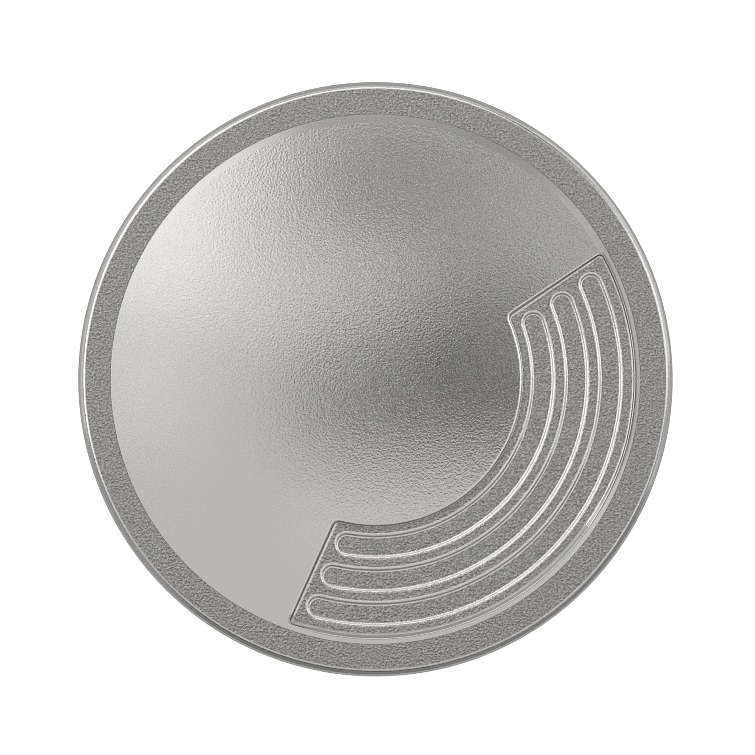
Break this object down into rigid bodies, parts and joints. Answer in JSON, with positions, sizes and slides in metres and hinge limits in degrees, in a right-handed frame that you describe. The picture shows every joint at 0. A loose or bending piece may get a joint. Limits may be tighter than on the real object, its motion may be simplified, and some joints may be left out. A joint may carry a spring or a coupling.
{
  "type": "golf ball marker",
  "caption": "Round metal ball marker with a low satin dome, a blasted ring, a sunken arc-shaped panel of round-ended grooves, and a disc magnet glued into its back.",
  "frame": {"origin": "centre of the flat back, on the plane that the marker lies on", "axes": "+Z out of the domed face, +Y to the top of the face as pictured, +X to its right"},
  "size_m": [0.025, 0.025, 0.0021],
  "materials": {
    "satin_nickel": "satin nickel plate on cast zinc alloy, blasted on the ring and in the panel, bright on the edges",
    "magnet_nickel": "bright nickel plate on a sintered neodymium disc",
    "epoxy": "cured amber epoxy"
  },
  "bodies": {
    "root": {"marker_body": "satin_nickel", "magnet": "magnet_nickel", "magnet_adhesive": "epoxy"}
  },
  "joints": []
}
